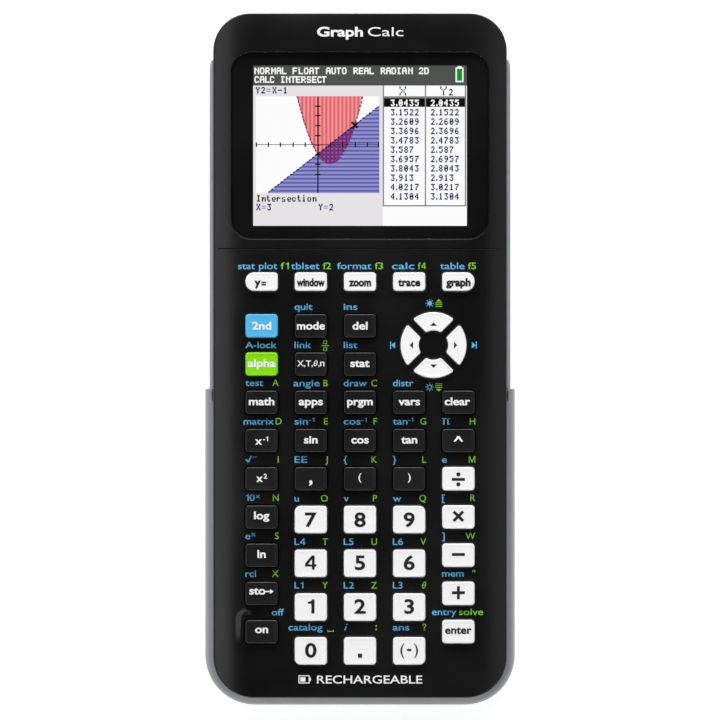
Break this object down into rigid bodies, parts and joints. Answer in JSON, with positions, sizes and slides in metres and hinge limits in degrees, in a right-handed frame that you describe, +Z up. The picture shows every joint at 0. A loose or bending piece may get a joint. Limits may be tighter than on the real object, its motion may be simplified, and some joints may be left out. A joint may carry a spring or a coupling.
{
  "type": "graphing calculator",
  "caption": "Flat hand-held graphing calculator with a colour display, rows of keys, an arrow ring and a slide cover stored on its back.",
  "frame": {"origin": "middle of the whole object's outline, on the surface that the slide cover lies on", "axes": "+X to the right across the keys, +Y along the calculator towards the display end, +Z up out of the face"},
  "size_m": [0.084, 0.187, 0.0188],
  "materials": {
    "case_black": "moulded black ABS, satin face and fine-grained back",
    "cover_grey": "moulded mid grey ABS, satin",
    "key_white": "moulded white ABS with black printed legends",
    "key_black": "moulded black ABS with white printed legends",
    "key_blue": "moulded light blue ABS with a white legend",
    "key_green": "moulded lime green ABS with a white legend",
    "window_clear": "clear polished acrylic with a black printed border",
    "display_frame": "pressed metal tray round a lit colour panel",
    "circuit_board": "green solder mask over glass-fibre board",
    "silicone": "moulded translucent grey silicone",
    "battery_wrap": "flat pouch cell in a blue wrap",
    "screw_steel": "zinc-plated steel"
  },
  "bodies": {
    "calculator": {"rear_case": "case_black", "battery_door": "case_black", "battery_pack": "battery_wrap", "main_board": "circuit_board", "key_mat": "silicone", "display_module": "display_frame", "display_window": "window_clear", "front_case": "case_black", "screws": "screw_steel"},
    "slide_cover": {"slide_cover": "cover_grey"},
    "key_y_equals": {"key_y_equals": "key_white"},
    "key_window": {"key_window": "key_white"},
    "key_zoom": {"key_zoom": "key_white"},
    "key_trace": {"key_trace": "key_white"},
    "key_graph": {"key_graph": "key_white"},
    "key_second": {"key_second": "key_blue"},
    "key_mode": {"key_mode": "key_black"},
    "key_delete": {"key_delete": "key_black"},
    "key_alpha": {"key_alpha": "key_green"},
    "key_variable": {"key_variable": "key_black"},
    "key_stat": {"key_stat": "key_black"},
    "key_math": {"key_math": "key_black"},
    "key_apps": {"key_apps": "key_black"},
    "key_program": {"key_program": "key_black"},
    "key_vars": {"key_vars": "key_black"},
    "key_clear": {"key_clear": "key_black"},
    "key_inverse": {"key_inverse": "key_black"},
    "key_sine": {"key_sine": "key_black"},
    "key_cosine": {"key_cosine": "key_black"},
    "key_tangent": {"key_tangent": "key_black"},
    "key_power": {"key_power": "key_black"},
    "key_square": {"key_square": "key_black"},
    "key_comma": {"key_comma": "key_black"},
    "key_open_bracket": {"key_open_bracket": "key_black"},
    "key_close_bracket": {"key_close_bracket": "key_black"},
    "key_divide": {"key_divide": "key_white"},
    "key_log": {"key_log": "key_black"},
    "key_multiply": {"key_multiply": "key_white"},
    "key_ln": {"key_ln": "key_black"},
    "key_minus": {"key_minus": "key_white"},
    "key_store": {"key_store": "key_black"},
    "key_plus": {"key_plus": "key_white"},
    "key_on": {"key_on": "key_black"},
    "key_enter": {"key_enter": "key_white"},
    "key_7": {"key_7": "key_white"},
    "key_8": {"key_8": "key_white"},
    "key_9": {"key_9": "key_white"},
    "key_4": {"key_4": "key_white"},
    "key_5": {"key_5": "key_white"},
    "key_6": {"key_6": "key_white"},
    "key_1": {"key_1": "key_white"},
    "key_2": {"key_2": "key_white"},
    "key_3": {"key_3": "key_white"},
    "key_0": {"key_0": "key_white"},
    "key_point": {"key_point": "key_white"},
    "key_negative": {"key_negative": "key_white"},
    "key_right": {"key_right": "key_white"},
    "key_up": {"key_up": "key_white"},
    "key_left": {"key_left": "key_white"},
    "key_down": {"key_down": "key_white"}
  },
  "joints": [
    {"name": "cover_slide", "type": "slide", "parent": "calculator", "child": "slide_cover", "axis": [0, -1, 0], "range_m": [0, 0.19]},
    {"name": "key_y_equals_press", "type": "slide", "parent": "calculator", "child": "key_y_equals", "axis": [0, 0, -1], "range_m": [0, 0.001], "stiffness_N_per_m": 800, "springref_m": -0.0005},
    {"name": "key_window_press", "type": "slide", "parent": "calculator", "child": "key_window", "axis": [0, 0, -1], "range_m": [0, 0.001], "stiffness_N_per_m": 800, "springref_m": -0.0005},
    {"name": "key_zoom_press", "type": "slide", "parent": "calculator", "child": "key_zoom", "axis": [0, 0, -1], "range_m": [0, 0.001], "stiffness_N_per_m": 800, "springref_m": -0.0005},
    {"name": "key_trace_press", "type": "slide", "parent": "calculator", "child": "key_trace", "axis": [0, 0, -1], "range_m": [0, 0.001], "stiffness_N_per_m": 800, "springref_m": -0.0005},
    {"name": "key_graph_press", "type": "slide", "parent": "calculator", "child": "key_graph", "axis": [0, 0, -1], "range_m": [0, 0.001], "stiffness_N_per_m": 800, "springref_m": -0.0005},
    {"name": "key_second_press", "type": "slide", "parent": "calculator", "child": "key_second", "axis": [0, 0, -1], "range_m": [0, 0.001], "stiffness_N_per_m": 800, "springref_m": -0.0005},
    {"name": "key_mode_press", "type": "slide", "parent": "calculator", "child": "key_mode", "axis": [0, 0, -1], "range_m": [0, 0.001], "stiffness_N_per_m": 800, "springref_m": -0.0005},
    {"name": "key_delete_press", "type": "slide", "parent": "calculator", "child": "key_delete", "axis": [0, 0, -1], "range_m": [0, 0.001], "stiffness_N_per_m": 800, "springref_m": -0.0005},
    {"name": "key_alpha_press", "type": "slide", "parent": "calculator", "child": "key_alpha", "axis": [0, 0, -1], "range_m": [0, 0.001], "stiffness_N_per_m": 800, "springref_m": -0.0005},
    {"name": "key_variable_press", "type": "slide", "parent": "calculator", "child": "key_variable", "axis": [0, 0, -1], "range_m": [0, 0.001], "stiffness_N_per_m": 800, "springref_m": -0.0005},
    {"name": "key_stat_press", "type": "slide", "parent": "calculator", "child": "key_stat", "axis": [0, 0, -1], "range_m": [0, 0.001], "stiffness_N_per_m": 800, "springref_m": -0.0005},
    {"name": "key_math_press", "type": "slide", "parent": "calculator", "child": "key_math", "axis": [0, 0, -1], "range_m": [0, 0.001], "stiffness_N_per_m": 800, "springref_m": -0.0005},
    {"name": "key_apps_press", "type": "slide", "parent": "calculator", "child": "key_apps", "axis": [0, 0, -1], "range_m": [0, 0.001], "stiffness_N_per_m": 800, "springref_m": -0.0005},
    {"name": "key_program_press", "type": "slide", "parent": "calculator", "child": "key_program", "axis": [0, 0, -1], "range_m": [0, 0.001], "stiffness_N_per_m": 800, "springref_m": -0.0005},
    {"name": "key_vars_press", "type": "slide", "parent": "calculator", "child": "key_vars", "axis": [0, 0, -1], "range_m": [0, 0.001], "stiffness_N_per_m": 800, "springref_m": -0.0005},
    {"name": "key_clear_press", "type": "slide", "parent": "calculator", "child": "key_clear", "axis": [0, 0, -1], "range_m": [0, 0.001], "stiffness_N_per_m": 800, "springref_m": -0.0005},
    {"name": "key_inverse_press", "type": "slide", "parent": "calculator", "child": "key_inverse", "axis": [0, 0, -1], "range_m": [0, 0.001], "stiffness_N_per_m": 800, "springref_m": -0.0005},
    {"name": "key_sine_press", "type": "slide", "parent": "calculator", "child": "key_sine", "axis": [0, 0, -1], "range_m": [0, 0.001], "stiffness_N_per_m": 800, "springref_m": -0.0005},
    {"name": "key_cosine_press", "type": "slide", "parent": "calculator", "child": "key_cosine", "axis": [0, 0, -1], "range_m": [0, 0.001], "stiffness_N_per_m": 800, "springref_m": -0.0005},
    {"name": "key_tangent_press", "type": "slide", "parent": "calculator", "child": "key_tangent", "axis": [0, 0, -1], "range_m": [0, 0.001], "stiffness_N_per_m": 800, "springref_m": -0.0005},
    {"name": "key_power_press", "type": "slide", "parent": "calculator", "child": "key_power", "axis": [0, 0, -1], "range_m": [0, 0.001], "stiffness_N_per_m": 800, "springref_m": -0.0005},
    {"name": "key_square_press", "type": "slide", "parent": "calculator", "child": "key_square", "axis": [0, 0, -1], "range_m": [0, 0.001], "stiffness_N_per_m": 800, "springref_m": -0.0005},
    {"name": "key_comma_press", "type": "slide", "parent": "calculator", "child": "key_comma", "axis": [0, 0, -1], "range_m": [0, 0.001], "stiffness_N_per_m": 800, "springref_m": -0.0005},
    {"name": "key_open_bracket_press", "type": "slide", "parent": "calculator", "child": "key_open_bracket", "axis": [0, 0, -1], "range_m": [0, 0.001], "stiffness_N_per_m": 800, "springref_m": -0.0005},
    {"name": "key_close_bracket_press", "type": "slide", "parent": "calculator", "child": "key_close_bracket", "axis": [0, 0, -1], "range_m": [0, 0.001], "stiffness_N_per_m": 800, "springref_m": -0.0005},
    {"name": "key_divide_press", "type": "slide", "parent": "calculator", "child": "key_divide", "axis": [0, 0, -1], "range_m": [0, 0.001], "stiffness_N_per_m": 800, "springref_m": -0.0005},
    {"name": "key_log_press", "type": "slide", "parent": "calculator", "child": "key_log", "axis": [0, 0, -1], "range_m": [0, 0.001], "stiffness_N_per_m": 800, "springref_m": -0.0005},
    {"name": "key_multiply_press", "type": "slide", "parent": "calculator", "child": "key_multiply", "axis": [0, 0, -1], "range_m": [0, 0.001], "stiffness_N_per_m": 800, "springref_m": -0.0005},
    {"name": "key_ln_press", "type": "slide", "parent": "calculator", "child": "key_ln", "axis": [0, 0, -1], "range_m": [0, 0.001], "stiffness_N_per_m": 800, "springref_m": -0.0005},
    {"name": "key_minus_press", "type": "slide", "parent": "calculator", "child": "key_minus", "axis": [0, 0, -1], "range_m": [0, 0.001], "stiffness_N_per_m": 800, "springref_m": -0.0005},
    {"name": "key_store_press", "type": "slide", "parent": "calculator", "child": "key_store", "axis": [0, 0, -1], "range_m": [0, 0.001], "stiffness_N_per_m": 800, "springref_m": -0.0005},
    {"name": "key_plus_press", "type": "slide", "parent": "calculator", "child": "key_plus", "axis": [0, 0, -1], "range_m": [0, 0.001], "stiffness_N_per_m": 800, "springref_m": -0.0005},
    {"name": "key_on_press", "type": "slide", "parent": "calculator", "child": "key_on", "axis": [0, 0, -1], "range_m": [0, 0.001], "stiffness_N_per_m": 800, "springref_m": -0.0005},
    {"name": "key_enter_press", "type": "slide", "parent": "calculator", "child": "key_enter", "axis": [0, 0, -1], "range_m": [0, 0.001], "stiffness_N_per_m": 800, "springref_m": -0.0005},
    {"name": "key_7_press", "type": "slide", "parent": "calculator", "child": "key_7", "axis": [0, 0, -1], "range_m": [0, 0.001], "stiffness_N_per_m": 800, "springref_m": -0.0005},
    {"name": "key_8_press", "type": "slide", "parent": "calculator", "child": "key_8", "axis": [0, 0, -1], "range_m": [0, 0.001], "stiffness_N_per_m": 800, "springref_m": -0.0005},
    {"name": "key_9_press", "type": "slide", "parent": "calculator", "child": "key_9", "axis": [0, 0, -1], "range_m": [0, 0.001], "stiffness_N_per_m": 800, "springref_m": -0.0005},
    {"name": "key_4_press", "type": "slide", "parent": "calculator", "child": "key_4", "axis": [0, 0, -1], "range_m": [0, 0.001], "stiffness_N_per_m": 800, "springref_m": -0.0005},
    {"name": "key_5_press", "type": "slide", "parent": "calculator", "child": "key_5", "axis": [0, 0, -1], "range_m": [0, 0.001], "stiffness_N_per_m": 800, "springref_m": -0.0005},
    {"name": "key_6_press", "type": "slide", "parent": "calculator", "child": "key_6", "axis": [0, 0, -1], "range_m": [0, 0.001], "stiffness_N_per_m": 800, "springref_m": -0.0005},
    {"name": "key_1_press", "type": "slide", "parent": "calculator", "child": "key_1", "axis": [0, 0, -1], "range_m": [0, 0.001], "stiffness_N_per_m": 800, "springref_m": -0.0005},
    {"name": "key_2_press", "type": "slide", "parent": "calculator", "child": "key_2", "axis": [0, 0, -1], "range_m": [0, 0.001], "stiffness_N_per_m": 800, "springref_m": -0.0005},
    {"name": "key_3_press", "type": "slide", "parent": "calculator", "child": "key_3", "axis": [0, 0, -1], "range_m": [0, 0.001], "stiffness_N_per_m": 800, "springref_m": -0.0005},
    {"name": "key_0_press", "type": "slide", "parent": "calculator", "child": "key_0", "axis": [0, 0, -1], "range_m": [0, 0.001], "stiffness_N_per_m": 800, "springref_m": -0.0005},
    {"name": "key_point_press", "type": "slide", "parent": "calculator", "child": "key_point", "axis": [0, 0, -1], "range_m": [0, 0.001], "stiffness_N_per_m": 800, "springref_m": -0.0005},
    {"name": "key_negative_press", "type": "slide", "parent": "calculator", "child": "key_negative", "axis": [0, 0, -1], "range_m": [0, 0.001], "stiffness_N_per_m": 800, "springref_m": -0.0005},
    {"name": "key_right_press", "type": "slide", "parent": "calculator", "child": "key_right", "axis": [0, 0, -1], "range_m": [0, 0.001], "stiffness_N_per_m": 800, "springref_m": -0.0005},
    {"name": "key_up_press", "type": "slide", "parent": "calculator", "child": "key_up", "axis": [0, 0, -1], "range_m": [0, 0.001], "stiffness_N_per_m": 800, "springref_m": -0.0005},
    {"name": "key_left_press", "type": "slide", "parent": "calculator", "child": "key_left", "axis": [0, 0, -1], "range_m": [0, 0.001], "stiffness_N_per_m": 800, "springref_m": -0.0005},
    {"name": "key_down_press", "type": "slide", "parent": "calculator", "child": "key_down", "axis": [0, 0, -1], "range_m": [0, 0.001], "stiffness_N_per_m": 800, "springref_m": -0.0005}
  ]
}
